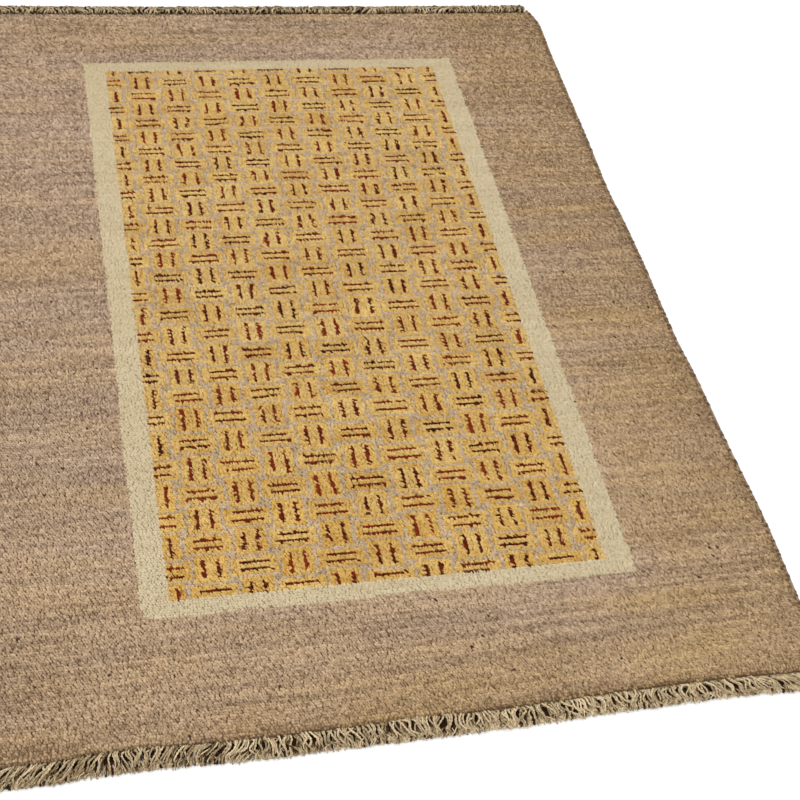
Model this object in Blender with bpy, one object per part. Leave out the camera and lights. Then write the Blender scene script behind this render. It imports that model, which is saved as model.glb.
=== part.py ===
"""Handwoven wool rug: knotted pile body, overcast sides and fringed ends.

Metres, +Z up. X runs across the rug and Y along it, from the near end to the far end.
The rug lies flat on the floor at Z = 0.
"""
import math
import random
from collections import namedtuple

import bmesh
import bpy
from mathutils import Vector

# Knotted body
PILE_THICKNESS = 0.011
TOP_ROUNDING = 0.0045
TOP_ROUNDING_STEPS = 3
CORNER_ROUNDING = 0.012
CORNER_STEPS = 3
SIDE_STATION = 0.04
END_STATION = 0.05

# Distance that keeps neighbouring pieces parted
PARTING = 0.0003

# Overcast side cords
CORD_RADIUS = 0.0035

# Flat-woven end strips
STRIP_WIDTH = 0.015
STRIP_THICKNESS = 0.0035

# Fringe: strands at each end, and one strand's size
STRANDS_PER_END = 150
STRAND_WIDTH = 0.0045
STRAND_REACH = 0.022
REACH_VARIATION = 0.004
CREST_VARIATION = 0.35
FRINGE_SEED = 7

# One strand from its root to its tip: share of its reach, height of its underside, section
StrandStep = namedtuple("StrandStep", "share underside thickness width")
STRAND_STEPS = (
    StrandStep(share=0.30, underside=0.0032, thickness=0.0036, width=0.0046),
    StrandStep(share=0.68, underside=0.0036, thickness=0.0034, width=0.0044),
    StrandStep(share=1.00, underside=0.0, thickness=0.0028, width=0.0038),
)

# Sideways lean of the strands: a long swing and a shorter one along the end of the rug
LEAN_SWING = 0.011
LEAN_SWING_PITCH = 0.31
LEAN_RIPPLE = 0.0038
LEAN_RIPPLE_PITCH = 0.14

# Long sides of the body: distance of each edge from the rug's middle line
SideRow = namedtuple("SideRow", "along left right")
SIDE_ROWS = (
    SideRow(along=-1.070, left=0.750, right=0.757),
    SideRow(along=-1.000, left=0.760, right=0.7655),
    SideRow(along=-0.900, left=0.764, right=0.7667),
    SideRow(along=-0.700, left=0.762, right=0.7697),
    SideRow(along=-0.500, left=0.757, right=0.7617),
    SideRow(along=-0.300, left=0.753, right=0.7571),
    SideRow(along=-0.200, left=0.754, right=0.7504),
    SideRow(along=0.050, left=0.750, right=0.7512),
    SideRow(along=0.200, left=0.752, right=0.7484),
    SideRow(along=0.300, left=0.753, right=0.7430),
    SideRow(along=0.500, left=0.749, right=0.7469),
    SideRow(along=0.750, left=0.751, right=0.7487),
    SideRow(along=0.900, left=0.754, right=0.7507),
    SideRow(along=0.990, left=0.753, right=0.7537),
    SideRow(along=1.030, left=0.747, right=0.7450),
    SideRow(along=1.070, left=0.734, right=0.7270),
)

# Ends of the pile: distance of each end from the rug's middle
EndRow = namedtuple("EndRow", "across near far")
END_ROWS = (
    EndRow(across=-0.780, near=1.0380, far=1.0500),
    EndRow(across=-0.660, near=1.0440, far=1.0510),
    EndRow(across=-0.500, near=1.0380, far=1.0470),
    EndRow(across=-0.300, near=1.0435, far=1.0440),
    EndRow(across=-0.050, near=1.0430, far=1.0415),
    EndRow(across=0.150, near=1.0425, far=1.0400),
    EndRow(across=0.320, near=1.0375, far=1.0385),
    EndRow(across=0.540, near=1.0345, far=1.0390),
    EndRow(across=0.780, near=1.0410, far=1.0400),
)

# Finishes: colour, roughness, metallic
FINISHES = {
    "pile_wool": ((0.37, 0.27, 0.18), 0.92, 0.0),
    "selvedge_wool": ((0.25, 0.18, 0.12), 0.90, 0.0),
    "warp_yarn": ((0.44, 0.38, 0.24), 0.88, 0.0),
}


def clear_scene():
    """Remove what the scene holds, so that the rug is built in an empty one."""
    for old in list(bpy.data.objects):
        bpy.data.objects.remove(old, do_unlink=True)


def make_finish(name):
    """Principled material of one of the finishes."""
    colour, roughness, metallic = FINISHES[name]
    finish = bpy.data.materials.new(name)
    finish.use_nodes = True
    shader = finish.node_tree.nodes["Principled BSDF"]
    shader.inputs["Base Color"].default_value = (*colour, 1.0)
    shader.inputs["Roughness"].default_value = roughness
    shader.inputs["Metallic"].default_value = metallic
    return finish


def smooth_value(places, values, at):
    """Value at a place on the smooth curve through rows of places and values."""
    last = len(places) - 2
    row = 0
    while row < last and at > places[row + 1]:
        row += 1

    def slope(index):
        before = max(index - 1, 0)
        after = min(index + 1, len(places) - 1)
        return (values[after] - values[before]) / (places[after] - places[before])

    step = places[row + 1] - places[row]
    share = (at - places[row]) / step
    start_rise = slope(row) * step
    end_rise = slope(row + 1) * step
    rise = values[row + 1] - values[row]
    bend = 3.0 * rise - 2.0 * start_rise - end_rise
    twist = start_rise + end_rise - 2.0 * rise
    return values[row] + share * (start_rise + share * (bend + share * twist))


def side_edge(side, along):
    """X of the body's left (-1) or right (+1) edge at a place along the rug."""
    places = [row.along for row in SIDE_ROWS]
    values = [row.right if side > 0 else row.left for row in SIDE_ROWS]
    return side * smooth_value(places, values, along)


def pile_end(end, across):
    """Y of the near (-1) or far (+1) end of the pile at a place across the rug."""
    places = [row.across for row in END_ROWS]
    values = [row.far if end > 0 else row.near for row in END_ROWS]
    return end * smooth_value(places, values, across)


def evenly(start, stop, pitch):
    """Places from start to stop, both included, about one pitch apart."""
    steps = max(1, round(abs(stop - start) / pitch))
    return [start + (stop - start) * step / steps for step in range(steps + 1)]


def corner(side, end):
    """The point where one side of the body meets one end of the pile."""
    across = side_edge(side, end * 1.04)
    for _ in range(4):
        across = side_edge(side, pile_end(end, across))
    return (across, pile_end(end, across))


def end_points(end):
    """Points of the pile's end line, from its left corner to its right corner."""
    left = corner(-1, end)
    right = corner(1, end)
    inner = evenly(left[0], right[0], END_STATION)[1:-1]
    return [left] + [(across, pile_end(end, across)) for across in inner] + [right]


def side_points(side):
    """Points of one long edge of the body, from its near corner to its far corner."""
    start = corner(side, -1)[1]
    stop = corner(side, 1)[1]
    return [(side_edge(side, along), along) for along in evenly(start, stop, SIDE_STATION)]


def strip_corner(side, end):
    """Outer corner of an end strip, where the side cord runs past it."""
    along = corner(side, end)[1] + end * STRIP_WIDTH
    return (side_edge(side, along), along)


def along_line(points, across):
    """Y of a line of points at a place across the rug, straight between its points."""
    for (x0, y0), (x1, y1) in zip(points, points[1:]):
        if across <= x1:
            break
    return y0 + (y1 - y0) * (across - x0) / (x1 - x0)


def add_mesh_object(name, shape, finish, collection):
    """Object of a finished bmesh, flat shaded, in the rug's collection."""
    bmesh.ops.recalc_face_normals(shape, faces=shape.faces)
    mesh = bpy.data.meshes.new(name)
    shape.to_mesh(mesh)
    shape.free()
    mesh.materials.append(finish)
    made = bpy.data.objects.new(name, mesh)
    collection.objects.link(made)
    return made


def lift_sheet(shape, faces, height):
    """Give a flat sheet of faces its thickness, upwards."""
    lifted = bmesh.ops.extrude_face_region(shape, geom=faces)
    top = [part for part in lifted["geom"] if isinstance(part, bmesh.types.BMVert)]
    bmesh.ops.translate(shape, verts=top, vec=(0.0, 0.0, height))
    return top


def make_pile_body(collection, finish):
    """Knotted body: the uneven outline, lifted, with rounded corners and a soft top edge."""
    near = end_points(-1)
    far = end_points(1)
    right = side_points(1)[1:-1]
    left = side_points(-1)[1:-1]
    outline = near + right + far[::-1] + left[::-1]

    shape = bmesh.new()
    ring = [shape.verts.new((x, y, 0.0)) for x, y in outline]
    shape.faces.new(ring)
    corners = [ring[outline.index(point)] for point in (near[0], near[-1], far[-1], far[0])]
    bmesh.ops.bevel(
        shape,
        geom=corners,
        offset=CORNER_ROUNDING,
        offset_type="OFFSET",
        segments=CORNER_STEPS,
        profile=0.5,
        affect="VERTICES",
        clamp_overlap=True,
    )
    top = set(lift_sheet(shape, shape.faces[:], PILE_THICKNESS))
    lid = next(face for face in shape.faces if top.issuperset(face.verts))
    bmesh.ops.bevel(
        shape,
        geom=lid.edges[:],
        offset=TOP_ROUNDING,
        offset_type="OFFSET",
        segments=TOP_ROUNDING_STEPS,
        profile=0.5,
        affect="EDGES",
        clamp_overlap=True,
    )
    return add_mesh_object("pile_body", shape, finish, collection)


def make_side_cord(name, side, collection, finish):
    """Overcast side: a cord laid along the body's long edge, past the strips at both ends."""
    line = [strip_corner(side, -1)] + side_points(side) + [strip_corner(side, 1)]
    edge = [Vector((x, y, CORD_RADIUS)) for x, y in line]
    curve = bpy.data.curves.new(name, "CURVE")
    curve.dimensions = "3D"
    curve.bevel_depth = CORD_RADIUS
    curve.bevel_resolution = 2
    curve.use_fill_caps = True
    spline = curve.splines.new("POLY")
    spline.points.add(len(edge) - 1)
    for index, point in enumerate(edge):
        before = edge[max(index - 1, 0)]
        after = edge[min(index + 1, len(edge) - 1)]
        run = (after - before).normalized()
        outward = Vector((run.y, -run.x, 0.0)) * side
        place = point + outward * (CORD_RADIUS + PARTING)
        spline.points[index].co = (*place, 1.0)
    curve.materials.append(finish)
    made = bpy.data.objects.new(name, curve)
    collection.objects.link(made)
    return made


def lean_at(end, across):
    """Sideways lean of a strand's tip, changing smoothly along the end of the rug."""
    swing = math.sin(2.0 * math.pi * (across / LEAN_SWING_PITCH + 0.23 * end))
    ripple = math.sin(2.0 * math.pi * (across / LEAN_RIPPLE_PITCH + 0.4 * end))
    return LEAN_SWING * swing + LEAN_RIPPLE * ripple


def upright_face(edge):
    """The upright one of the two faces that meet at an edge of the strip."""
    return min(edge.link_faces, key=lambda face: abs(face.normal.z))


def draw_strand(shape, root, end, reach, lean, crest):
    """Draw one strand out of its root face, step by step, and lay its tip on the floor."""
    start = root.calc_center_median()
    face = root
    for step in STRAND_STEPS:
        face = bmesh.ops.extrude_discrete_faces(shape, faces=[face])["faces"][0]
        middle = face.calc_center_median()
        underside = step.underside * crest
        for vert in face.verts:
            side = 1 if vert.co.x > middle.x else -1
            upper = vert.co.z > middle.z
            x = start.x + lean * step.share + side * step.width / 2.0
            y = start.y + end * reach * step.share
            z = underside + (step.thickness if upper else 0.0)
            vert.co = (x, y, z)


def make_fringe(name, end, collection, finish):
    """Fringe: a flat-woven strip with a strand drawn out of every other face of its edge."""
    line = end_points(end)
    first = strip_corner(-1, end)[0]
    last = strip_corner(1, end)[0]
    pitch = (last - first) / (STRANDS_PER_END + 0.5)
    stations = [line[0][0]]
    for number in range(STRANDS_PER_END):
        middle = first + pitch * (number + 0.75)
        stations += [middle - STRAND_WIDTH / 2.0, middle + STRAND_WIDTH / 2.0]
    stations.append(line[-1][0])

    shape = bmesh.new()
    inner = [shape.verts.new((x, along_line(line, x) + end * PARTING, 0.0)) for x in stations]
    chain = [shape.edges.new(pair) for pair in zip(inner, inner[1:])]
    drawn = bmesh.ops.extrude_edge_only(shape, edges=chain)["geom"]
    outer = [part for part in drawn if isinstance(part, bmesh.types.BMVert)]
    outer.sort(key=lambda vert: vert.co.x)
    bmesh.ops.translate(shape, verts=outer, vec=(0.0, end * (STRIP_WIDTH - PARTING), 0.0))
    outer[0].co.x = first
    outer[-1].co.x = last
    lift_sheet(shape, shape.faces[:], STRIP_THICKNESS)
    bmesh.ops.recalc_face_normals(shape, faces=shape.faces)

    chance = random.Random(FRINGE_SEED + end)
    roots = [
        upright_face(shape.edges.get((outer[2 * number + 1], outer[2 * number + 2])))
        for number in range(STRANDS_PER_END)
    ]
    for root in roots:
        lean = lean_at(end, root.calc_center_median().x)
        reach = STRAND_REACH + REACH_VARIATION * chance.uniform(-1.0, 1.0)
        crest = 1.0 + CREST_VARIATION * chance.uniform(-1.0, 1.0)
        draw_strand(shape, root, end, reach, lean, crest)
    return add_mesh_object(name, shape, finish, collection)


def set_over_origin(pieces, collection):
    """Hang the pieces on one empty that brings the middle of their box over the origin."""
    bpy.context.view_layer.update()
    reach = [piece.matrix_world @ Vector(point) for piece in pieces for point in piece.bound_box]
    place = bpy.data.objects.new("rug_place", None)
    collection.objects.link(place)
    for axis in (0, 1):
        places = [point[axis] for point in reach]
        place.location[axis] = -(min(places) + max(places)) / 2.0
    for piece in pieces:
        piece.parent = place


def build():
    """Make every piece of the rug, and set the rug's middle over the origin."""
    clear_scene()
    collection = bpy.data.collections.new("handwoven_rug")
    bpy.context.scene.collection.children.link(collection)
    finishes = {name: make_finish(name) for name in FINISHES}
    pieces = [
        make_pile_body(collection, finishes["pile_wool"]),
        make_side_cord("selvedge_left", -1, collection, finishes["selvedge_wool"]),
        make_side_cord("selvedge_right", 1, collection, finishes["selvedge_wool"]),
        make_fringe("fringe_near", -1, collection, finishes["warp_yarn"]),
        make_fringe("fringe_far", 1, collection, finishes["warp_yarn"]),
    ]
    set_over_origin(pieces, collection)


build()
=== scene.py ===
"""Handwoven wool rug, lying on a pale studio floor."""

import math

import bpy
import numpy as np
from mathutils import Matrix, Vector


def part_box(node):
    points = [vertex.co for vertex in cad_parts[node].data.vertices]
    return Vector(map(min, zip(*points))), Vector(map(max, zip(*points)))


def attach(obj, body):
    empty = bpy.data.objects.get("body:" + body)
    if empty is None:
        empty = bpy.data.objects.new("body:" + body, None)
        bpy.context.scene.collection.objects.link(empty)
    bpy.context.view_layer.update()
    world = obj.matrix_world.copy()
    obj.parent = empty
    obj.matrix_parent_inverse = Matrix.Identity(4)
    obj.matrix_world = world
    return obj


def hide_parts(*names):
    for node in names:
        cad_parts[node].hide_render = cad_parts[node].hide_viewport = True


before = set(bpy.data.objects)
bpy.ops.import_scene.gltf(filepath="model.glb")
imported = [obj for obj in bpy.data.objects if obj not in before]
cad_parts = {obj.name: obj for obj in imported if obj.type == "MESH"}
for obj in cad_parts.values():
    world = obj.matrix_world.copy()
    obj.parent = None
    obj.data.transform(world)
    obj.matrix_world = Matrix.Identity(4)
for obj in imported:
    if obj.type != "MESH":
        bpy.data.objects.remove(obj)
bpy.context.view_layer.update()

# Camera: it stands off the near left corner of the rug, about two metres up, and looks down
# the rug through a long lens, rolled so that the long sides run askew in the square picture.
pile_low, pile_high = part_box("pile_body")
FIELD_OFF_MIDDLE = (-0.0029, 0.0201)
field_middle = Vector((
    (pile_low.x + pile_high.x) / 2.0 + FIELD_OFF_MIDDLE[0],
    (pile_low.y + pile_high.y) / 2.0 + FIELD_OFF_MIDDLE[1],
    pile_high.z,
))
EYE = Vector((-0.594, -2.266, 2.252))
HEADING = math.radians(19.84)
DIP = math.radians(47.81)
ROLL = math.radians(11.06)
SENSOR_WIDTH = 36.0
PICTURE_WIDTH_PX = 800
FOCAL_LENGTH_PX = 1477.4

sight = Vector((
    math.sin(HEADING) * math.cos(DIP),
    math.cos(HEADING) * math.cos(DIP),
    -math.sin(DIP),
))
level = Vector((math.cos(HEADING), -math.sin(HEADING), 0.0))
above = level.cross(sight)
camera_right = level * math.cos(ROLL) + above * math.sin(ROLL)
camera_up = above * math.cos(ROLL) - level * math.sin(ROLL)

camera_lens = bpy.data.cameras.new("camera")
camera_lens.sensor_width = SENSOR_WIDTH
camera_lens.lens = SENSOR_WIDTH * FOCAL_LENGTH_PX / PICTURE_WIDTH_PX
camera_lens.clip_start = 0.05
camera_lens.clip_end = 60.0
camera = bpy.data.objects.new("camera", camera_lens)
camera.matrix_world = Matrix.Translation(field_middle + EYE) @ Matrix(
    (camera_right, camera_up, -sight)
).transposed().to_4x4()
bpy.context.scene.collection.objects.link(camera)
bpy.context.scene.camera = camera


# Floor and light: a plain pale studio floor, one wide soft light high behind the far end of
# the rug, a weaker one at the near left, and a pale surround that fills the shadows.
def plain_finish(name, colour, roughness):
    """Principled material in one plain colour, and its shader."""
    finish = bpy.data.materials.new(name)
    finish.use_nodes = True
    shader = finish.node_tree.nodes["Principled BSDF"]
    shader.inputs["Base Color"].default_value = (*colour, 1.0)
    shader.inputs["Roughness"].default_value = roughness
    return finish, shader


FLOOR_HALF_SIDE = 9.0
bpy.ops.mesh.primitive_plane_add(size=2.0 * FLOOR_HALF_SIDE, location=(0.0, 0.0, -0.0004))
floor = bpy.context.object
floor.name = "floor"
floor.data.materials.append(plain_finish("pale_floor", (0.94, 0.94, 0.94), 0.9)[0])


def soft_light(name, place, side, power):
    """Square area light at a place, turned to the middle of the rug."""
    lamp = bpy.data.lights.new(name, "AREA")
    lamp.shape = "SQUARE"
    lamp.size = side
    lamp.energy = power
    holder = bpy.data.objects.new(name, lamp)
    holder.location = place
    holder.rotation_euler = (-Vector(place)).to_track_quat("-Z", "Y").to_euler()
    bpy.context.scene.collection.objects.link(holder)


soft_light("light_far", (-1.6, 2.6, 6.0), 3.4, 190.0)
soft_light("light_near", (-2.2, -3.0, 5.5), 3.2, 196.0)
surround = bpy.data.worlds.new("surround")
surround.use_nodes = True
surround.node_tree.nodes["Background"].inputs["Color"].default_value = (1.0, 1.0, 1.0, 1.0)
surround.node_tree.nodes["Background"].inputs["Strength"].default_value = 0.65
bpy.context.scene.world = surround
bpy.context.scene.view_settings.view_transform = "Standard"


# Foundation: the woven back of the rug, wool wefts packed over the warps between the rows of
# knots, with the lower part of the pile standing close in it. One piece of cloth; between the
# tips of the pile only its top shows, in a darker tone of the wool above it: painted shade.
FOUNDATION_THICKNESS = 0.0062
RIM_THICKNESS = 0.0025
RIM_SLOPE = 0.012

body_points = np.array([vert.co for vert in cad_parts["pile_body"].data.vertices])
rim = body_points[body_points[:, 2] < 0.0001][:, :2]
rim = np.unique(rim.round(6), axis=0)

# Points past these lie on a side or an end. Each edge is then read at stations and smoothed
SIDE_BEYOND = 0.72
END_BEYOND = 1.02
EDGE_STATION = 0.004
EDGE_WINDOW = 9


def edge_of(points, place_axis, value_axis):
    """Line along one edge of the body, as sorted places and the values there, smoothed."""
    order = np.argsort(points[:, place_axis])
    places = points[order, place_axis]
    stations = np.arange(places[0], places[-1], EDGE_STATION)
    values = np.interp(stations, places, points[order, value_axis])
    padded = np.pad(values, EDGE_WINDOW // 2, mode="edge")
    return stations, np.convolve(padded, np.ones(EDGE_WINDOW) / EDGE_WINDOW, mode="valid")


right_edge = edge_of(rim[rim[:, 0] > SIDE_BEYOND], 1, 0)
left_edge = edge_of(rim[rim[:, 0] < -SIDE_BEYOND], 1, 0)
far_edge = edge_of(rim[rim[:, 1] > END_BEYOND], 0, 1)
near_edge = edge_of(rim[rim[:, 1] < -END_BEYOND], 0, 1)


def mesh_piece(name, verts, faces, finish):
    """Mesh object from arrays of points and faces, riding on the rug."""
    mesh = bpy.data.meshes.new(name)
    mesh.from_pydata(verts, [], faces)
    mesh.materials.append(finish)
    made = bpy.data.objects.new(name, mesh)
    bpy.context.scene.collection.objects.link(made)
    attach(made, "root")
    return made


class Flow:
    """Output of a shader node, for arithmetic on single values."""

    def __init__(self, wool, socket):
        self.wool = wool
        self.socket = socket

    def combine(self, operation, first, second):
        """Math node on two values, either of which may be a plain number."""
        return self.wool.node("Math", {"operation": operation}, {0: first, 1: second})

    def __add__(self, other):
        return self.combine("ADD", self, other)

    def __sub__(self, other):
        return self.combine("SUBTRACT", self, other)

    def __mul__(self, other):
        return self.combine("MULTIPLY", self, other)

    def __lt__(self, other):
        return self.combine("LESS_THAN", self, other)


class Wool:
    """Wool material: its shader, and one method that adds any node."""

    def __init__(self, name, roughness, sheen=0.1):
        self.material = bpy.data.materials.new(name)
        self.material.use_nodes = True
        self.tree = self.material.node_tree
        self.shader = self.tree.nodes["Principled BSDF"]
        self.shader.inputs["Roughness"].default_value = roughness
        self.shader.inputs["Sheen Weight"].default_value = sheen
        self.shader.inputs["Sheen Roughness"].default_value = 0.6
        self.shader.inputs["Specular IOR Level"].default_value = 0.15

    def node(self, kind, settings=None, inputs=None, output=0):
        """Add a node: its type, its settings, then the values or links of its inputs."""
        made = self.tree.nodes.new("ShaderNode" + kind)
        for key, value in (settings or {}).items():
            setattr(made, key, value)
        for key, value in (inputs or {}).items():
            self.feed(made.inputs[key], value)
        return Flow(self, made.outputs[output])

    def feed(self, socket, value):
        """Set a socket to a value, or link it to a flow."""
        if isinstance(value, Flow):
            self.tree.links.new(value.socket, socket)
        else:
            socket.default_value = value

    def places(self, scale, turn=0.0):
        """Object coordinates, turned about the upright and stretched along each axis."""
        spot = self.node("TexCoord", output="Object")
        turned = self.node(
            "VectorRotate", {"rotation_type": "Z_AXIS"}, {"Vector": spot, "Angle": turn}
        )
        return self.node("VectorMath", {"operation": "MULTIPLY"}, {0: turned, 1: scale})

    def noise(self, scale, turn=0.0):
        """Noise from about -1 to 1, with its own scale for each axis."""
        made = self.node(
            "TexNoise", inputs={"Vector": self.places(scale, turn), "Scale": 1.0}, output="Fac"
        )
        return (made - 0.5) * 2.6

    def attribute(self, name):
        """Value that each tuft or strand carries, from -1 to 1."""
        return self.node("Attribute", {"attribute_name": name}, output="Fac")

    def pallor(self, grain_and_shade, shade):
        """How pale the pile is: strokes of grain and painted shade, and the shade of each lock."""
        strokes = self.noise(PILE_GRAIN_AND_SHADE, NAP_TURN) * grain_and_shade
        return strokes + self.attribute("shade") * shade + 0.5

    def mix(self, share, first, second):
        """Blend of two colours."""
        return self.node(
            "Mix",
            {"data_type": "RGBA", "clamp_factor": True},
            {0: share, 6: first, 7: second},
            output=2,
        )

    def colour(self, value):
        """Send a colour to the shader."""
        self.feed(self.shader.inputs["Base Color"], value)

    def bump(self, height, distance, strength=0.6):
        """Send a height to the shader as fine relief."""
        made = self.node(
            "Bump", inputs={"Height": height, "Distance": distance, "Strength": strength}
        )
        self.feed(self.shader.inputs["Normal"], made)


def dye(red, green, blue):
    """Colour of a dyed wool, given as it looks in the picture, from 0 to 255."""
    return tuple(((part / 255.0 + 0.055) / 1.055) ** 2.4 for part in (red, green, blue)) + (1.0,)


FIELD_WIDTH = 0.832
FIELD_LENGTH = 1.5586
BAND = {"left": 0.0515, "right": 0.0537, "far": 0.0351, "near": 0.0341}

back_wool = Wool("back_wool", 0.95, 0.0)
back_place = back_wool.places((1.0, 1.0, 1.0))
back_x = back_wool.node("SeparateXYZ", inputs={0: back_place}, output=0)
back_y = back_wool.node("SeparateXYZ", inputs={0: back_place}, output=1)


def back_zone(margin_across, margin_along):
    """One inside a rectangle that lies beyond the field by the margins, and nought outside."""
    across = back_x.combine("ABSOLUTE", back_x - field_middle.x, 0.0)
    along = back_x.combine("ABSOLUTE", back_y - field_middle.y, 0.0)
    within_width = across < FIELD_WIDTH / 2.0 + margin_across
    return within_width * (along < FIELD_LENGTH / 2.0 + margin_along)


# Painted shade: each zone takes a darker tone of the wool above it, seen between the locks; the
# underside shows the same colours
back_and_pit_shade_colour = back_wool.mix(
    back_wool.noise((90.0, 160.0, 90.0)) * 0.5 + 0.5, dye(98, 76, 56), dye(118, 94, 70)
)
back_and_pit_shade_colour = back_wool.mix(
    back_zone(BAND["left"], BAND["far"]), back_and_pit_shade_colour, dye(184, 166, 132)
)
back_wool.colour(back_wool.mix(back_zone(0.0, 0.0), back_and_pit_shade_colour, dye(150, 112, 60)))


def outline_ring():
    """Points round the body's outline on the floor, anticlockwise from the near left corner."""
    near = list(zip(*near_edge))
    far = list(zip(*far_edge))[::-1]
    right = [(x, y) for y, x in zip(*right_edge) if near[-1][1] < y < far[0][1]]
    left = [(x, y) for y, x in zip(*left_edge) if near[0][1] < y < far[-1][1]][::-1]
    return near + right + far + left


ring = np.array(outline_ring())
count = len(ring)
inner_ring = ring * (1.0 - RIM_SLOPE / np.abs(ring).max(axis=0))
levels = ((ring, 0.0), (ring, RIM_THICKNESS), (inner_ring, FOUNDATION_THICKNESS))
points = [(x, y, z) for line, z in levels for x, y in line]
walls = [
    (low + i, low + (i + 1) % count, low + count + (i + 1) % count, low + count + i)
    for low in (0, count)
    for i in range(count)
]
foundation = mesh_piece(
    "foundation",
    points,
    walls + [tuple(range(count))[::-1], tuple(range(2 * count, 3 * count))],
    back_wool.material,
)
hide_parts("pile_body")


# Pile: the cut ends of the wool knots, tied row by row on the warps. Each knot stands as one
# small lock that leans to the near end and to the right, as the nap of the rug lies. The rows
# and columns of the border spread or close up to follow the rug's uneven outline.
KNOT_ACROSS = 0.0052
KNOT_ALONG = 0.00506
PILE_HEIGHT = pile_high.z
LOCK_LENGTH = 0.0116
LOCK_WIDTH = 0.0064
LOCK_ROOT = 0.0058
NAP = (0.0034, -0.0052)
NAP_TURN = -math.atan2(NAP[1], NAP[0])
# Scale of the pile's strokes: partly grain, partly painted shade between the locks
PILE_GRAIN_AND_SHADE = (230.0, 520.0, 1.0)
FIBRE_GRAIN = (900.0, 350.0, 900.0)
FIBRE_DEPTH = 0.0006
EDGE_MARGIN = 0.0004
EDGE_FALL = 0.0020
EDGE_FALL_REACH = 0.010
NEAR_FALL = 0.0030
NEAR_FALL_REACH = 0.016
LIP_REACH = 0.007
NEAR_LEAN_REACH = 0.018
RIM_REACH = 0.004

# Points of one lock: share of its length, share of its width, share of its height
LOCK_POINTS = np.array([
    (-0.50, 0.00, 0.30),
    (-0.02, -0.50, 0.42),
    (-0.02, 0.50, 0.42),
    (0.46, 0.00, 0.20),
    (-0.26, 0.00, 0.90),
    (0.36, 0.00, 1.00),
])
LOCK_FACES = np.array([(0, 1, 4), (0, 4, 2), (1, 5, 4), (2, 4, 5), (1, 3, 5), (3, 2, 5)])

chance = np.random.default_rng(11)
LATTICE_SIDE = 900
LATTICE_START = 1.3


def fading(distance, reach):
    """One at an edge, and less and less away from it."""
    return np.exp(-distance / reach)


def patch(place, middle, reach):
    """One at a place, and less and less on both sides of it."""
    return np.exp(-(((place - middle) / reach) ** 2))


def drift(across, along, pitch_across, pitch_along, seed):
    """Smooth wander from -1 to 1 over the rug, with its own pitch each way."""
    lattice = np.random.default_rng(seed).uniform(-1.0, 1.0, (LATTICE_SIDE, LATTICE_SIDE))
    u = (across + LATTICE_START) / pitch_across
    v = (along + LATTICE_START) / pitch_along
    column = u.astype(int)
    row = v.astype(int)
    u = u - column
    v = v - row
    u = u * u * (3.0 - 2.0 * u)
    v = v * v * (3.0 - 2.0 * v)
    low = lattice[column, row] * (1.0 - u) + lattice[column + 1, row] * u
    high = lattice[column, row + 1] * (1.0 - u) + lattice[column + 1, row + 1] * u
    return low * (1.0 - v) + high * v


field_columns = round(FIELD_WIDTH / KNOT_ACROSS)
field_rows = round(FIELD_LENGTH / KNOT_ALONG)
field_left = field_middle.x - FIELD_WIDTH / 2.0
field_right = field_middle.x + FIELD_WIDTH / 2.0
field_near = field_middle.y - FIELD_LENGTH / 2.0
field_far = field_middle.y + FIELD_LENGTH / 2.0
left_columns = round((field_left - left_edge[1].mean()) / KNOT_ACROSS)
right_columns = round((right_edge[1].mean() - field_right) / KNOT_ACROSS)
near_rows = round((field_near - near_edge[1].mean()) / KNOT_ALONG)
far_rows = round((far_edge[1].mean() - field_far) / KNOT_ALONG)
column, row = [
    part.ravel()
    for part in np.meshgrid(
        np.arange(-left_columns, field_columns + right_columns),
        np.arange(-near_rows, field_rows + far_rows),
    )
]
knots = len(column)


def spread(knot, low, start, stop, high, before, within, after):
    """Places of knots, counted from the field's edge, between two edges of the rug."""
    return np.select(
        [knot < 0.0, knot > within],
        [
            start + (start - low) * knot / before,
            stop + (high - stop) * (knot - within) / after,
        ],
        start + (stop - start) * knot / within,
    )


# The stagger lets the locks of one row lie between those of the next, as trodden wool does
stagger = np.where(row % 2 == 0, -0.22, 0.22)
column_place = column + 0.5 + stagger + chance.normal(0.0, 0.19, knots).clip(-0.4, 0.4)
row_place = row + 0.5 + chance.normal(0.0, 0.09, knots).clip(-0.25, 0.25)
even_y = field_near + row_place * KNOT_ALONG
knot_x = spread(
    column_place,
    np.interp(even_y, *left_edge) + EDGE_MARGIN,
    field_left,
    field_right,
    np.interp(even_y, *right_edge) - EDGE_MARGIN,
    left_columns,
    field_columns,
    right_columns,
)
knot_y = spread(
    row_place,
    np.interp(knot_x, *near_edge) + EDGE_MARGIN,
    field_near,
    field_far,
    np.interp(knot_x, *far_edge) - EDGE_MARGIN,
    near_rows,
    field_rows,
    far_rows,
)
from_right = np.interp(knot_y, *right_edge) - knot_x
from_left = knot_x - np.interp(knot_y, *left_edge)
from_far = np.interp(knot_x, *far_edge) - knot_y
from_near = knot_y - np.interp(knot_x, *near_edge)
from_edge = np.minimum.reduce([from_right, from_left, from_far, from_near])


def joined_mesh(name, verts, faces, material, slot, **carried):
    """Mesh object from arrays, riding on the rug, with a flat map over it for baking."""
    sides = faces.shape[1]
    mesh = bpy.data.meshes.new(name)
    mesh.vertices.add(len(verts))
    mesh.vertices.foreach_set("co", verts.ravel())
    mesh.loops.add(faces.size)
    mesh.loops.foreach_set("vertex_index", faces.ravel())
    mesh.polygons.add(len(faces))
    mesh.polygons.foreach_set("loop_start", np.arange(0, faces.size, sides))
    mesh.polygons.foreach_set("use_smooth", np.ones(len(faces), bool))
    mesh.update(calc_edges=True)
    for label, values in carried.items():
        mesh.attributes.new(label, "FLOAT", "POINT").data.foreach_set("value", values)
    bake_map = mesh.uv_layers.new(name="OFBake")
    low = verts[:, :2].min(axis=0)
    span = verts[:, :2].max(axis=0) - low
    bake_map.data.foreach_set("uv", (((verts[:, :2] - low) / span)[faces.ravel()]).ravel())
    mesh.materials.append(material)
    made = bpy.data.objects.new(name, mesh)
    bpy.context.scene.collection.objects.link(made)
    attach(made, "root")
    return made


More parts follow.
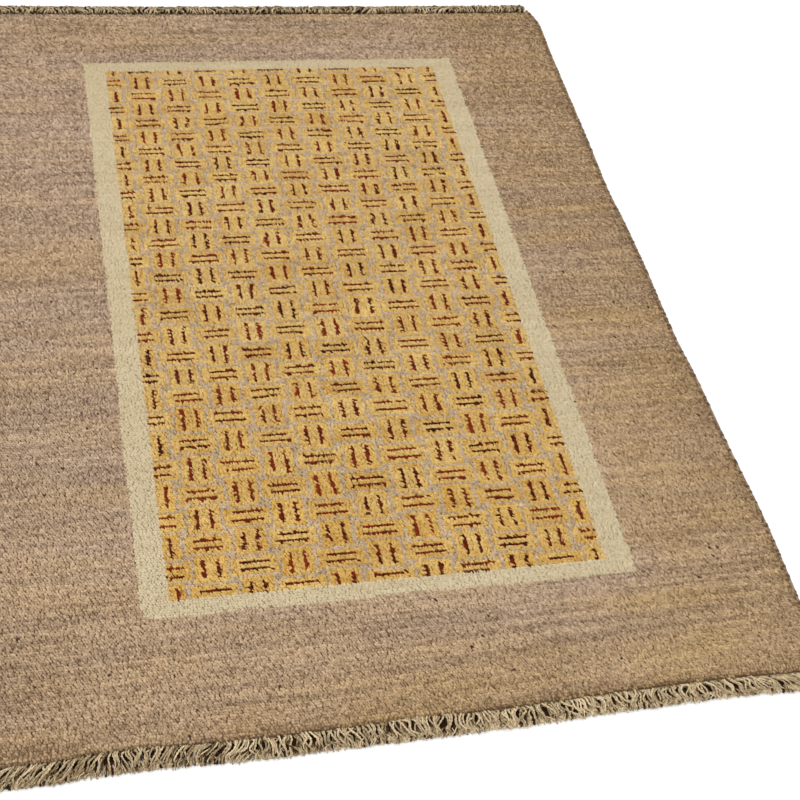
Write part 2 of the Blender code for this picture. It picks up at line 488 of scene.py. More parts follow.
def pile_piece(name, chosen, wool, foot_shade, **carried):
    """Locks of the chosen knots, joined into one piece that carries values of each lock.

    Each lock is painted darker towards its foot, by the foot shade: painted shade down in the
    pile.
    """
    x = knot_x[chosen]
    y = knot_y[chosen]
    amount = len(x)
    jitter = chance.normal(0.0, 1.0, (5, amount)).clip(-2.0, 2.0)
    lean_x = NAP[0] * (1.0 - 0.8 * fading(from_near[chosen], NEAR_LEAN_REACH))
    lean_x = lean_x + 0.0016 * drift(x, y, 0.07, 0.05, 21) + 0.0010 * jitter[0]
    lean_y = NAP[1] + 0.0013 * drift(x, y, 0.06, 0.06, 22) + 0.0010 * jitter[1]
    reach = np.hypot(lean_x, lean_y)
    forward = np.stack([lean_x / reach, lean_y / reach], axis=1)
    sideways = np.stack([-forward[:, 1], forward[:, 0]], axis=1)
    at_rim = fading(from_edge[chosen], RIM_REACH)
    at_lip = fading(from_near[chosen], LIP_REACH)
    ragged_lip = 0.0022 * drift(x, 0.0 * x, 0.011, 1.0, 24) + 0.0012 * jitter[2]
    middle = np.stack([
        x + 0.0020 * at_rim * jitter[0],
        y + 0.0015 * at_rim * jitter[1] - at_lip * ragged_lip,
    ], axis=1)
    length = LOCK_LENGTH * (1.0 + 0.13 * jitter[2])
    width = LOCK_WIDTH * (1.0 + 0.12 * jitter[3])
    fall = EDGE_FALL * fading(from_edge[chosen], EDGE_FALL_REACH)
    fall = fall + NEAR_FALL * fading(from_near[chosen], NEAR_FALL_REACH)
    top = PILE_HEIGHT - fall + 0.0004 * drift(x, y, 0.10, 0.08, 23) + 0.0005 * jitter[4]

    along = LOCK_POINTS[:, 0][None, :, None]
    aside = LOCK_POINTS[:, 1][None, :, None]
    flat = middle[:, None, :]
    flat = flat + forward[:, None, :] * length[:, None, None] * along
    flat = flat + sideways[:, None, :] * width[:, None, None] * aside
    root = LOCK_ROOT - 0.8 * fall
    height = root[:, None] + (top - root)[:, None] * LOCK_POINTS[:, 2][None, :]
    verts = np.concatenate([flat, height[:, :, None]], axis=2).reshape(-1, 3)
    step = len(LOCK_POINTS)
    faces = (LOCK_FACES[None, :, :] + step * np.arange(amount)[:, None, None]).reshape(-1, 3)
    spread_values = {label: np.repeat(part[chosen], step) for label, part in carried.items()}
    # Painted shade: darker towards each lock's foot
    spread_values["shade"] -= foot_shade * np.tile(1.0 - LOCK_POINTS[:, 2], amount)
    return joined_mesh(name, verts, faces, wool.material, "pile_wool", **spread_values)


# Border: undyed taupe wool, carded unevenly, so that its colour runs in faint streaks across
# the rug from one batch of yarn to the next. The ivory band has a wavering edge on both sides.
field_x = knot_x - field_middle.x
field_y = knot_y - field_middle.y
across = np.abs(field_x) - FIELD_WIDTH / 2.0
along = np.abs(field_y) - FIELD_LENGTH / 2.0
in_field = (across < 0.0) & (along < 0.0)

waver_side = 0.0018 * drift(field_x * 0.0, field_y, 1.0, 0.045, 31)
waver_side = waver_side + 0.0005 * drift(field_x * 0.0, field_y, 1.0, 0.013, 32)
waver_end = 0.0020 * drift(field_x, field_y * 0.0, 0.055, 1.0, 33)
band_side = np.where(field_x < 0.0, BAND["left"], BAND["right"]) + waver_side
band_end = np.where(field_y < 0.0, BAND["near"], BAND["far"]) + waver_end
in_band = (across < band_side) & (along < band_end) & ~in_field
in_border = ~in_field & ~in_band

SPECK_SHADE = -4.5
SPECK_BELOW = -3.0
RIM_KNOT_SHADE = -1.6

taupe_wool = Wool("taupe_wool", 0.9)
lock_shade = taupe_wool.attribute("shade")
# The strokes are partly grain and partly painted shade between the locks
strokes = taupe_wool.noise(PILE_GRAIN_AND_SHADE, NAP_TURN)
light_or_dark = lock_shade * 0.5 + strokes * 0.55 + 0.56
pinkish = taupe_wool.mix(light_or_dark, dye(110, 86, 66), dye(198, 173, 149))
yellowish = taupe_wool.mix(light_or_dark, dye(112, 85, 50), dye(200, 169, 121))
taupe = taupe_wool.mix(taupe_wool.attribute("hue") * 0.5 + 0.5, pinkish, yellowish)
taupe_wool.colour(taupe_wool.mix(lock_shade < SPECK_BELOW, taupe, dye(66, 44, 30)))
taupe_wool.bump(strokes, 0.0010)

uneven = chance.normal(0.0, 0.30, knots).clip(-0.9, 0.9)
batch = drift(field_x, row_place * KNOT_ALONG, 0.60, 0.050, 34)
streak = drift(field_x, row * KNOT_ALONG, 0.16, 0.0051, 35)

# Darker along the sides and ends, less so in the near middle, at the right of the near end and
# on a stretch of the right side, and darker on one patch in the right half of the near end. The
# last few millimetres of the near end are painted dark: painted shadow under the pile's lip.
from_side = np.minimum(from_right, from_left)
right_border = np.clip((field_x - 0.35) / 0.2, 0.0, 1.0)
right_part = np.clip((field_x - 0.25) / 0.25, 0.0, 1.0)
darkening = 0.26 * fading(from_side, 0.050) + 0.30 * fading(from_side, 0.008)
darkening = darkening + 0.16 * fading(from_far, 0.10) + 0.20 * right_border
# Darker towards the near end; its last few millimetres are painted shadow under the pile's lip
darkening = darkening + 0.38 * fading(from_near, 0.08) + 0.9 * fading(from_near, 0.004)
darkening = darkening - 0.24 * patch(from_near, 0.0, 0.28) * np.exp(-((field_x / 0.60) ** 4))
darkening = darkening + 0.20 * patch(field_x, 0.22, 0.22) * patch(from_near, 0.11, 0.08)
darkening = darkening - right_part * (0.14 * patch(from_near, 0.0, 0.60) + 0.36 * fading(from_near, 0.09))
darkening = darkening - 0.25 * patch(field_x, 0.50, 0.15) * patch(field_y, -0.40, 0.22)
border_shade = uneven * (1.0 + 0.5 * np.clip(field_y + 0.3, 0.0, 1.0)) + 0.10 * batch
border_shade = border_shade + 0.38 * streak + 0.08 * drift(field_x, field_y, 0.02, 0.014, 36)
border_shade = (border_shade + 0.10 - darkening).clip(-1.5, 1.5)
rim_knot = (from_side < 0.005) & (chance.random(knots) < 0.35)
border_shade = np.where(rim_knot, RIM_KNOT_SHADE, border_shade)
border_shade = np.where(chance.random(knots) < 0.0012, SPECK_SHADE, border_shade)

# Hue, from pinkish to yellowish: by batch, and yellower near the ends and on the right
border_hue = 0.42 * drift(field_x, row_place * KNOT_ALONG, 0.45, 0.050, 37) + 0.2 * streak
border_hue = border_hue + 0.32 * drift(field_x, field_y, 0.11, 0.028, 38)
near_warmth = np.interp(field_x, (-0.76, -0.20, 0.35, 0.70), (0.45, 0.85, 0.95, 0.45))
border_hue = border_hue + 1.15 * near_warmth * fading(from_near, 0.13) - 0.50
border_hue = border_hue + 0.2 * patch(field_x, 0.20, 0.22) * patch(from_near, 0.0, 0.14)
border_hue = border_hue + 0.65 * right_border + 0.4 * fading(from_far, 0.10)
end_depth = np.where(field_y < 0.0, BAND["near"], BAND["far"])
at_end = in_border & (along > end_depth)
at_side = in_border & ~at_end
border_parts = {
    "border_near": at_end & (field_y < 0.0),
    "border_far": at_end & (field_y >= 0.0),
    "border_left": at_side & (field_x < 0.0),
    "border_right": at_side & (field_x >= 0.0),
}
pile = [
    pile_piece(name, chosen, taupe_wool, 0.7, shade=border_shade, hue=border_hue)
    for name, chosen in border_parts.items()
]

# Ivory band: a plain guard of undyed ivory wool between the border and the field.
ivory_wool = Wool("ivory_wool", 0.9)
ivory_pallor = ivory_wool.pallor(0.20, 0.35)
ivory_wool.colour(ivory_wool.mix(ivory_pallor, dye(176, 157, 122), dye(211, 197, 165)))
ivory_wool.bump(ivory_wool.noise(FIBRE_GRAIN), FIBRE_DEPTH)
ivory_shade = uneven + 0.3 * streak + 0.2 * batch - 0.35 * patch(field_y, 0.81, 0.10)
pile.append(pile_piece("ivory_band", in_band, ivory_wool, 0.4, shade=ivory_shade))


# Field: a basket weave of gold blocks on a mauve grey ground. Blocks stand upright and lie
# crosswise by turns, and each carries two dashes of madder red and dark brown.
BLOCK_COLUMNS = 10
BLOCK_ROWS = 28
COLUMN_PLACES = ((0, 4, 10), (0.003, 0.326, 0.831))

# How far the weave has strayed, in millimetres, row by row from the far end to the near one. A
# scratch program measured both tables, by matching an earlier render with the photo in zones
SWAY_PLACES_ACROSS = (-0.333, -0.166, 0.0, 0.166, 0.333)
SWAY_PLACES_ALONG = (-0.69, -0.52, -0.35, -0.17, 0.0, 0.17, 0.35, 0.52, 0.69)
SWAY_ACROSS_MM = (
    (0.0, -0.5, 1.0, 1.5, 0.0),
    (0.5, -1.0, -0.5, 1.5, 0.5),
    (0.5, -1.0, -1.0, 1.0, -2.5),
    (-1.0, -1.5, -2.0, 0.5, -3.0),
    (-2.0, -4.0, -4.0, 0.0, -2.5),
    (0.0, -4.5, -4.5, -1.0, -2.0),
    (1.0, -4.0, -4.5, 0.0, -4.0),
    (0.5, -1.5, -2.5, 1.5, -3.5),
    (-0.5, -1.0, 0.5, 4.0, -1.0),
)
SWAY_ALONG_MM = (
    (4.5, 4.5, 6.5, 6.0, 4.0),
    (1.5, 3.0, 2.5, 2.0, -1.0),
    (4.0, 5.5, 6.0, 0.5, 2.0),
    (5.5, 5.5, 4.5, 1.5, 1.0),
    (3.0, 2.5, 2.5, -0.5, -1.0),
    (2.0, 3.0, 0.5, 0.0, 1.5),
    (4.5, 2.5, 3.5, 2.5, 2.0),
    (1.0, 4.0, 2.5, 1.0, 4.0),
    (-5.0, -5.5, -5.5, -1.5, -4.0),
)

ROW_PLACES = (
    (0, 1, 9, 15, 18, 21, 24, 28),
    (0.001, 0.052, 0.465, 0.790, 0.968, 1.139, 1.328, 1.549),
)
UPRIGHT_LEFT = -0.38
UPRIGHT_RIGHT = 0.365
UPRIGHT_OVERRUN = 0.45
CROSSWISE_FAR = -0.352
CROSSWISE_NEAR = 0.352
CROSSWISE_OVERRUN = 0.465
UPRIGHT_DASH_APART = 0.0130
UPRIGHT_DASH_HALF_LENGTH = 0.40
CROSSWISE_DASH_APART = 0.0083
CROSSWISE_DASH_HALF_LENGTH = 0.36


def sway(table):
    """How far the weave has strayed at each knot, from a small table in millimetres."""
    lines = np.array([np.interp(field_x, SWAY_PLACES_ACROSS, line) for line in table])
    place = np.interp(-field_y, SWAY_PLACES_ALONG, range(len(table)))
    low = place.astype(int).clip(0, len(table) - 2)
    each = np.arange(knots)
    share = place - low
    return 0.001 * (lines[low, each] * (1.0 - share) + lines[low + 1, each] * share)


sway_x = FIELD_WIDTH / 2.0 - sway(SWAY_ACROSS_MM)
sway_y = FIELD_LENGTH / 2.0 + sway(SWAY_ALONG_MM)
swayed_x = field_x + sway_x
swayed_y = sway_y - field_y
block_u = np.interp(swayed_x, COLUMN_PLACES[1], COLUMN_PLACES[0], -0.04, 10.04)
block_v = np.interp(swayed_y, ROW_PLACES[1], ROW_PLACES[0], -0.02, 28.18)
block_column = block_u.round().astype(int).clip(0, BLOCK_COLUMNS)
block_row = block_v.round().astype(int).clip(0, BLOCK_ROWS)
block_a = block_u - block_column
block_b = block_v - block_row
upright = (block_column + block_row) % 2 == 0

# Each block's own small faults, from -1 to 1: two for its edges and six for its dashes
all_faults = chance.uniform(-1.0, 1.0, (BLOCK_COLUMNS + 1, BLOCK_ROWS + 1, 8))
faults = all_faults[block_column, block_row]
centre_x = np.interp(block_column, *COLUMN_PLACES)
centre_y = np.interp(block_row, *ROW_PLACES)
ragged = chance.uniform(-1.0, 1.0, knots)


def upright_dash(side):
    """Knots of an upright block's dash, drawn onto its line: one column, a few in the next."""
    which = 0 if side < 0 else 1
    line = centre_x + side * (UPRIGHT_DASH_APART + 0.0008 * faults[:, 2 + which])
    line = line + 0.0022 * faults[:, 4 + which] * block_b - sway_x + FIELD_WIDTH / 2.0
    dash_column = (line / KNOT_ACROSS - 0.5).round().astype(int)
    end = UPRIGHT_DASH_HALF_LENGTH + 0.03 * faults[:, 6 + which]
    beside = (column == dash_column + side) & (ragged > 0.22)
    chosen = upright & ((column == dash_column) | beside) & (np.abs(block_b) < end) & in_field
    line = field_left + line + np.where(beside, 0.0030 * side, 0.0) + 0.0004 * ragged
    knot_x[chosen] = line[chosen]
    return chosen


def crosswise_dash(side):
    """Knots of a crosswise block's dash, drawn onto its line: one row, a few in the next."""
    which = 0 if side < 0 else 1
    line = sway_y + FIELD_LENGTH / 2.0 - centre_y
    line = line + side * (CROSSWISE_DASH_APART + 0.0010 * faults[:, 2 + which])
    line = line + 0.0022 * faults[:, 4 + which] * block_a
    dash_row = (line / KNOT_ALONG - 0.5).round().astype(int)
    end = CROSSWISE_DASH_HALF_LENGTH + 0.02 * faults[:, 6 + which] + 0.02 * ragged
    beside = (row == dash_row + side) & (ragged > 0.76)
    chosen = ~upright & ((row == dash_row) | beside) & (np.abs(block_a) < end) & in_field
    line = field_near + line + np.where(beside, 0.0030 * side, 0.0) + 0.0003 * ragged
    knot_y[chosen] = line[chosen]
    return chosen


dashed = [upright_dash(-1), upright_dash(1), crosswise_dash(-1), crosswise_dash(1)]
in_dash = in_field & np.logical_or.reduce(dashed) & (chance.random(knots) > 0.01)

edge_u = 0.012 * faults[:, 0] + 0.022 * ragged
edge_v = 0.012 * faults[:, 1] + 0.022 * ragged
within_width = (block_a > UPRIGHT_LEFT - edge_u) & (block_a < UPRIGHT_RIGHT + edge_u)
within_height = (block_b > CROSSWISE_FAR - edge_v) & (block_b < CROSSWISE_NEAR + edge_v)
in_upright = within_width & (upright | (np.abs(block_b) > UPRIGHT_OVERRUN))
in_crosswise = within_height & (~upright | (np.abs(block_a) > CROSSWISE_OVERRUN))
in_block = in_field & (in_upright | in_crosswise) & ~in_dash
in_ground = in_field & ~in_block & ~in_dash

ground_wool = Wool("mauve_wool", 0.9)
ground_pallor = ground_wool.pallor(0.4, 0.5)
ground_wool.colour(ground_wool.mix(ground_pallor, dye(146, 124, 94), dye(209, 184, 151)))
ground_wool.bump(ground_wool.noise(FIBRE_GRAIN), FIBRE_DEPTH)
field_shade = uneven + 0.25 * streak + 0.2 * drift(field_x, field_y, 0.03, 0.02, 46)
pile.append(pile_piece("field_ground", in_ground, ground_wool, 0.7, shade=field_shade))

gold_wool = Wool("gold_wool", 0.9)
lock_warmth = gold_wool.attribute("warmth")
gold_dark = gold_wool.mix(lock_warmth, dye(174, 133, 66), dye(180, 131, 44))
gold_pale = gold_wool.mix(lock_warmth, dye(216, 190, 128), dye(219, 182, 98))
gold_wool.colour(gold_wool.mix(gold_wool.pallor(0.5, 0.5), gold_dark, gold_pale))
gold_wool.bump(gold_wool.noise(FIBRE_GRAIN), FIBRE_DEPTH)
gold_shade = field_shade + 0.25 * faults[:, 0]
from_middle = np.abs(np.where(upright, block_a, block_b))
outer_part = np.clip((from_middle - 0.20) / 0.12, 0.0, 1.0)
gold_warmth = 0.16 + 0.30 * outer_part + 0.15 * faults[:, 2] + 0.12 * uneven
gold_warmth = (gold_warmth + 0.30 * patch(field_y, -0.80, 0.45)).clip(0.0, 1.0)
block_parts = {
    "upright_blocks": in_block & upright,
    "crosswise_blocks": in_block & ~upright,
}
for name, chosen in block_parts.items():
    pile.append(pile_piece(name, chosen, gold_wool, 0.5, shade=gold_shade, warmth=gold_warmth))

madder_wool = Wool("madder_wool", 0.9, 0.0)
madder_share = madder_wool.attribute("shade") * 0.5 + 0.5
madder_wool.colour(madder_wool.mix(madder_share, dye(38, 8, 0), dye(128, 40, 10)))
madder_wool.bump(madder_wool.noise(FIBRE_GRAIN), FIBRE_DEPTH)
dash_shade = (1.4 * uneven + 0.6 * faults[:, 3] + 0.1).clip(-1.0, 1.0)
pile.append(pile_piece("dashes", in_dash, madder_wool, 0.5, shade=dash_shade))

# Ends: past the last knots the wefts are woven in plain, and close the pile with a flat strip
# of wool, ribbed by its wefts. Next to the pile the strip is painted dark brown: painted
# shadow under the end of the pile.
STRIP_WIDTH = 0.0150
STRIP_TOP = 0.0028
WEFT_RIB = 0.0004
RIBS = 7
RIB_POINTS = 3
STRIP_STATION = 0.006

strip_wool = Wool("end_strip_wool", 0.9)
strip_share = strip_wool.noise((150.0, 400.0, 150.0)) * 0.35 + strip_wool.attribute("shade") * 0.4
strip_colour = strip_wool.mix(strip_share + 0.5, dye(130, 112, 78), dye(196, 178, 140))
# Painted shadow: dark brown where the strip meets the pile
strip_wool.colour(strip_wool.mix(strip_wool.attribute("grime"), strip_colour, dye(40, 24, 12)))
strip_wool.bump(strip_wool.noise((900.0, 500.0, 900.0)), 0.0006)


def woven_strip(name, edge, outward, seed):
    """Flat-woven strip along one end of the pile, ribbed by its wefts."""
    places = np.arange(edge[0][0] + 0.002, edge[0][-1] - 0.002, STRIP_STATION)
    ribs = RIBS * RIB_POINTS
    share = np.arange(ribs + 1) / ribs
    x = np.repeat(places[:, None], ribs + 1, axis=1)
    y = np.interp(x, *edge) + outward * STRIP_WIDTH * share[None, :]
    rib = WEFT_RIB * np.abs(np.sin(np.pi * share * RIBS))
    z = STRIP_TOP + rib[None, :] + 0.0004 * drift(x, y, 0.006, 0.004, seed)
    z[:, 0] = 0.0008
    z[:, -1] = 0.0008
    verts = np.stack([x, y, z], axis=2).reshape(-1, 3)
    wide = ribs + 1
    cell = (np.arange(len(places) - 1)[:, None] * wide + np.arange(ribs)[None, :]).ravel()
    faces = np.stack([cell, cell + wide, cell + wide + 1, cell + 1], axis=1)
    if outward < 0.0:
        faces = faces[:, ::-1]
    shade = np.repeat(chance.normal(0.0, 0.3, len(places)), wide)
    # Painted shadow next to the pile, fading outwards across the strip
    grime = np.tile(np.interp(share, (0.0, 0.16, 0.30, 1.0), (1.0, 0.7, 0.1, 0.0)), len(places))
    made = joined_mesh(
        name, verts, faces, strip_wool.material, "warp_yarn", shade=shade, grime=grime
    )
    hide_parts("fringe_" + name.split("_")[-1])


woven_strip("end_strip_near", near_edge, -1.0, 51)
woven_strip("end_strip_far", far_edge, 1.0, 61)


# Fringe: past the strip the warps run on as wool yarns. Two-ply yarns spring up at the end of
# the pile, arch over and fall outwards, leaning together one way and then the other. Under
# them lie the loose ends of others, flat on the floor, and the tips of all are frayed.
LEAN_REACH = 0.026
PLY_SIDES = 4
PLY_PITCH = 0.0130

# Lean of the yarns along the near end, from one side of the rug to the other
NEAR_LEAN = (
    (-0.76, -0.56, -0.52, -0.47, -0.42, -0.32, -0.28, -0.16, -0.05, 0.03, 0.12, 0.25, 0.34,
     0.42, 0.50, 0.58, 0.76),
    (-1.1, -1.0, 0.3, -0.5, -0.9, -0.8, 0.1, 0.35, 0.3, -0.1, 0.2, 0.5, 0.5, -0.1, 0.3, 1.0, 1.1),
)
# How far past the pile the yarns spring up there: on the right the flat strip shows
NEAR_SPRING = (
    (-0.76, -0.52, -0.40, -0.20, -0.08, -0.02, 0.10, 0.30, 0.76),
    (0.0, -0.004, 0.0, 0.0, -0.002, -0.005, 0.001, 0.003, 0.005),
)

# How pale the yarns are there, from the darker left to the paler right
NEAR_PALENESS = (
    (-0.76, -0.50, -0.25, 0.05, 0.25, 0.76),
    (-0.18, -0.15, 0.05, 0.25, 0.38, 0.38),
)

# Run of an arched yarn, of a flat one and of a frayed tip, from root to tip: share of its
# length, reach out from the pile, share of its lean, height over the floor, and shade. The low
# shades at the roots and along the flat yarns are painted shade under and between the arches.
ARCHED_RUN = np.array([
    (0.00, 0.0030, 0.00, 0.0024, -2.0),
    (0.12, 0.0040, 0.02, 0.0072, -0.8),
    (0.28, 0.0085, 0.12, 0.0112, 0.3),
    (0.50, 0.0165, 0.40, 0.0112, 0.2),
    (0.75, 0.0265, 0.75, 0.0084, -0.1),
    (1.00, 0.0345, 1.00, 0.0044, -0.4),
])
FLAT_RUN = np.array([
    (0.00, 0.0080, 0.00, 0.0030, -2.3),
    (0.60, 0.0260, 0.05, 0.0034, -1.7),
    (0.85, 0.0350, 0.08, 0.0034, -1.1),
    (1.00, 0.0395, 0.10, 0.0030, -0.3),
])
FRAYED_RUN = np.array([
    (0.00, 0.0230, -0.20, 0.0040, -1.4),
    (0.45, 0.0310, 0.10, 0.0070, 0.1),
    (1.00, 0.0400, 0.40, 0.0036, 0.1),
])

yarn_wool = Wool("warp_yarn", 0.85, 0.0)
yarn_shade = yarn_wool.attribute("shade")
yarn_share = yarn_wool.noise((260.0, 260.0, 260.0)) * 0.45 + yarn_shade * 0.42 + 0.5
yarn_colour = yarn_wool.mix(yarn_share, dye(96, 70, 37), dye(219, 198, 160))
# Low shades turn the yarn dark brown: painted shade in the gaps under and between the yarns
yarn_wool.colour(yarn_wool.mix(yarn_shade * -1.0 - 0.7, yarn_colour, dye(36, 19, 4)))
yarn_wool.bump(yarn_wool.noise((900.0, 900.0, 900.0)), 0.0006)


def laid_yarns(edge, outward, lay, run, amount, plies, ply_radius, stations, stray, seed):
    """Points, faces and shades of yarns laid side by side along one end.

    The lay says how they lean, how far out they spring up and how pale they are. They stray
    by a share of their lean, a kink in metres, a share of their reach and a shade.
    """
    wild = np.random.default_rng(seed)
    first = edge[0][0] + 0.004
    last = edge[0][-1] - (0.004 if outward < 0.0 else 0.016)
    root = np.linspace(first, last, amount) + wild.normal(0.0, 0.0010, amount)
    root = root.clip(first, last)
    along = np.linspace(0.0, 1.0, stations)
    reach, lean_share, height, pale = [
        np.interp(along, run[:, 0], run[:, i]) for i in (1, 2, 3, 4)
    ]
    lean_of, spring_of, paleness_of = lay
    stray_lean, stray_kink, stray_reach, stray_shade = stray
    lean = (lean_of(root) + stray_lean * wild.normal(0.0, 1.0, amount)).clip(-1.6, 1.6)
    stretch = stray_reach * wild.normal(0.0, 1.0, amount).clip(-1.8, 1.4)
    stretch = 1.0 + stretch + 0.05 * drift(root, 0.0 * root, 0.03, 1.0, seed + 2)
    lift = 1.0 + 0.20 * wild.normal(0.0, 1.0, amount).clip(-1.6, 2.2)
    curl = np.stack([drift(root, 0.0 * root, 0.035, 1.0, seed + i) for i in (3, 4)])
    phase = 4.0 * curl + wild.normal(0.0, 0.5, (2, amount))
    kink = stray_kink * wild.uniform(0.3, 1.2, (2, amount))
    pace = 8.0 + 2.0 * drift(root, 0.0 * root, 0.05, 1.0, seed + 6)
    wave = kink[:, :, None] * np.sin(pace[None, :, None] * along + phase[:, :, None])
    wave = wave * along ** 0.6
    spring = spring_of(root) + 0.0015 * wild.normal(0.0, 1.0, amount).clip(-2.0, 2.0)
    reach = reach[None, :] + spring[:, None] * (1.0 - along)
    aside = root[:, None] + LEAN_REACH * lean[:, None] * lean_share[None, :] + wave[0]
    aside = aside.clip(edge[0][0], last + 0.004)
    thickness = ply_radius * (1.0 if plies == 1 else 1.75)
    high = np.maximum(height[None, :] * lift[:, None], thickness + 0.0002)
    y = np.interp(aside, *edge) + outward * (reach * stretch[:, None] + 0.6 * wave[1])
    spine = np.stack([aside, y, high], axis=2)
    ahead = np.gradient(spine, axis=1)
    ahead = ahead / np.linalg.norm(ahead, axis=2, keepdims=True)
    side = np.cross(ahead, np.array([0.0, 0.0, 1.0]))
    side = side / np.linalg.norm(side, axis=2, keepdims=True)
    rise = np.cross(side, ahead)
    walked = np.linalg.norm(np.diff(spine, axis=1, prepend=spine[:, :1]), axis=2).cumsum(axis=1)
    twist = 2.0 * np.pi * walked / PLY_PITCH + phase[0][:, None]
    taper = np.interp(along, (0.0, 0.85, 1.0), (1.0, 1.0, 0.7))
    corner = np.arange(PLY_SIDES)
    angle = 2.0 * np.pi * (corner + 0.5) / PLY_SIDES
    strand = np.arange(amount)[:, None, None] * stations * PLY_SIDES
    station = np.arange(stations - 1)[None, :, None] * PLY_SIDES
    following = (corner + 1) % PLY_SIDES
    walls = np.stack([
        strand + station + corner,
        strand + station + following,
        strand + station + PLY_SIDES + following,
        strand + station + PLY_SIDES + corner,
    ], axis=3).reshape(-1, 4)
    tips = strand[:, 0] + (stations - 1) * PLY_SIDES + corner[None, :]
    faces = np.concatenate([walls, tips])
    shade = (stray_shade * wild.normal(0.0, 1.0, amount)).clip(-1.2, 1.2) + paleness_of(root)
    shade = shade[:, None] + pale[None, :]
    shade = np.repeat(shade.ravel(), PLY_SIDES)
    parts = []
    for ply in range(plies):
        spin = (twist + 2.0 * np.pi * ply / plies)[:, :, None]
        offset = 0.75 * ply_radius * (plies - 1)
        middle = spine + offset * (np.cos(spin) * side + np.sin(spin) * rise)
        around = (
            np.cos(angle)[:, None] * side[:, :, None, :]
            + np.sin(angle)[:, None] * rise[:, :, None, :]
        )
        tube = middle[:, :, None, :] + ply_radius * taper[None, :, None, None] * around
        parts.append(tube.reshape(-1, 3))
    ply_step = len(parts[0])
    verts = np.concatenate(parts)
    verts[:, 2] = np.maximum(verts[:, 2], 0.0001)
    faces = np.concatenate([faces + ply_step * ply for ply in range(plies)])
    return verts, faces, np.tile(shade, plies)


def fringe_piece(name, edge, outward, lay, arched, seed):
    """Fringe of one end: flat loose ends below, arched yarns over them and frayed tips outside."""
    flat_stray = (0.15, 0.0006, 0.03, 0.8)
    frayed_stray = (0.7, 0.003, 0.07, 0.45)
    arched_stray = (0.34, 0.0060, 0.07, 0.45)
    end = (edge, outward, lay)
    layers = [
        laid_yarns(*end, FLAT_RUN, 360, 1, 0.0034, 5, flat_stray, seed),
        laid_yarns(*end, FRAYED_RUN, 460, 1, 0.0013, 4, frayed_stray, seed + 5),
        laid_yarns(*end, ARCHED_RUN, arched, 2, 0.00135, 12, arched_stray, seed + 9),
    ]
    before = np.cumsum([0] + [len(layer[0]) for layer in layers])
    made = joined_mesh(
        name,
        np.concatenate([layer[0] for layer in layers]),
        np.concatenate([layer[1] + start for layer, start in zip(layers, before)]),
        yarn_wool.material,
        "warp_yarn",
        shade=np.concatenate([layer[2] for layer in layers]),
    )
    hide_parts("fringe_" + name.split("_")[-1])


near_lay = (
    lambda root: np.interp(root, *NEAR_LEAN),
    lambda root: np.interp(root, *NEAR_SPRING),
    lambda root: np.interp(root, *NEAR_PALENESS),
)
far_lay = (
    lambda root: drift(root, 0.0 * root, 0.06, 1.0, 66),
    lambda root: 0.0 * root + 0.002,
    lambda root: 0.0 * root - 0.1,
)
fringe_piece("yarns_near", near_edge, -1.0, near_lay, 370, 55)
fringe_piece("yarns_far", far_edge, 1.0, far_lay, 280, 65)


# Selvedges: each long side is bound over its last warps with brown wool, wound round and
# round into a thin cord, so that its edge is finely scalloped.
WRAP_PITCH = 0.0046
WRAP_STEPS = 3
CORD_RADIUS = 0.0033
WRAP_BULGE = 0.0005
CORD_SIDES = 7

binding_wool = Wool("selvedge_wool", 0.9)
binding_share = binding_wool.noise((30.0, 60.0, 30.0)) * 0.35
binding_share = binding_share + binding_wool.attribute("shade") * 0.4
binding_wool.colour(binding_wool.mix(binding_share + 0.5, dye(86, 64, 44), dye(168, 142, 110)))
binding_wool.bump(binding_wool.noise((500.0, 500.0, 500.0)), 0.0005)


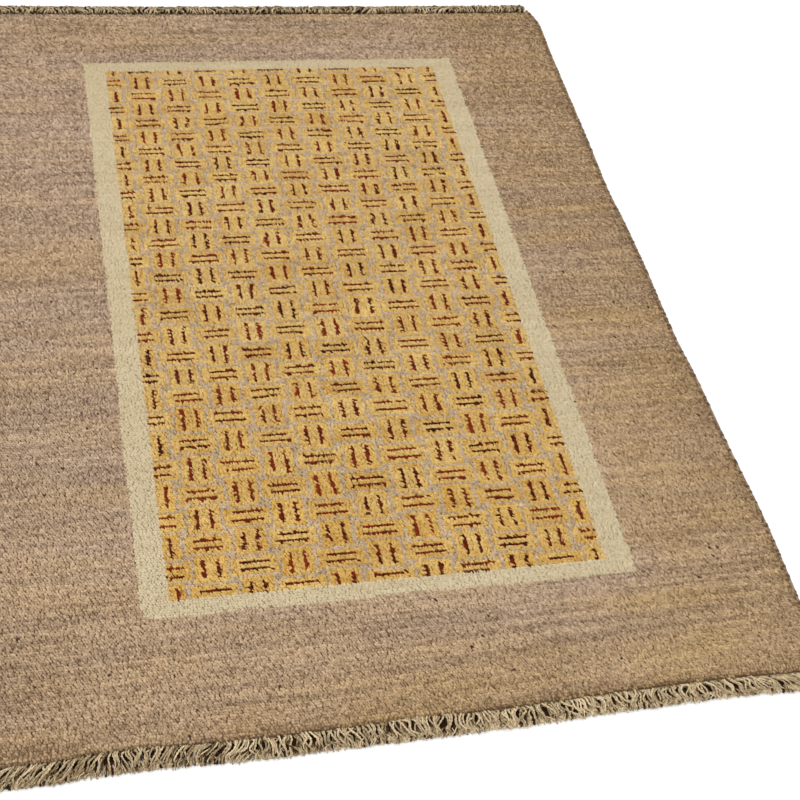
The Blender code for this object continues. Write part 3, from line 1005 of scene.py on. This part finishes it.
def wound_cord(name, node, seed):
    """Cord wound with wool along the middle line of a plain cord of the frame."""
    points = np.array([vert.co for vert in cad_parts[node].data.vertices])
    crest = np.unique(points[points[:, 2] > points[:, 2].max() - 0.0001].round(6), axis=0)
    line = crest[np.argsort(crest[:, 1])]
    stations = np.arange(line[0, 1], line[-1, 1], EDGE_STATION)
    values = np.pad(np.interp(stations, line[:, 1], line[:, 0]), EDGE_WINDOW // 2, mode="edge")
    values = np.convolve(values, np.ones(EDGE_WINDOW) / EDGE_WINDOW, mode="valid")
    line = np.stack([values, stations, np.full(len(stations), CORD_RADIUS)], axis=1)
    walked = np.concatenate([[0.0], np.cumsum(np.linalg.norm(np.diff(line, axis=0), axis=1))])
    stations = int(walked[-1] / WRAP_PITCH) * WRAP_STEPS
    place = np.linspace(0.0, walked[-1], stations)
    spine = np.stack([np.interp(place, walked, line[:, i]) for i in range(3)], axis=1)
    ahead = np.gradient(spine, axis=0)
    ahead = ahead / np.linalg.norm(ahead, axis=1, keepdims=True)
    side = np.cross(ahead, np.array([0.0, 0.0, 1.0]))
    rise = np.cross(side, ahead)
    bulge = np.abs(np.sin(np.pi * (np.arange(stations) + 0.5) / WRAP_STEPS))
    wild = np.random.default_rng(seed)
    wrap = np.arange(stations) // WRAP_STEPS
    proud = wild.random(wrap.max() + 1) < 0.22
    size = 1.0 + (0.06 * wild.normal(0.0, 1.0, len(proud)) + 0.26 * proud)[wrap]
    radius = (CORD_RADIUS - WRAP_BULGE + 2.0 * WRAP_BULGE * bulge) * size
    angle = 2.0 * np.pi * np.arange(CORD_SIDES) / CORD_SIDES
    around = (
        np.cos(angle)[None, :, None] * side[:, None, :]
        + np.sin(angle)[None, :, None] * rise[:, None, :]
    )
    verts = (spine[:, None, :] + radius[:, None, None] * around).reshape(-1, 3)
    verts[:, 2] = np.maximum(verts[:, 2], 0.0001)
    station = np.arange(stations - 1)[:, None] * CORD_SIDES
    corner = np.arange(CORD_SIDES)[None, :]
    following = (corner + 1) % CORD_SIDES
    faces = np.stack([
        station + corner,
        station + following,
        station + CORD_SIDES + following,
        station + CORD_SIDES + corner,
    ], axis=2).reshape(-1, 4)
    shade = wild.normal(0.1, 0.4, len(proud)) - 1.6 * proud
    shade = np.repeat(shade[wrap], CORD_SIDES)
    made = joined_mesh(name, verts, faces, binding_wool.material, "selvedge_wool", shade=shade)
    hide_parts(node)


wound_cord("wound_side_left", "selvedge_left", 71)
wound_cord("wound_side_right", "selvedge_right", 72)
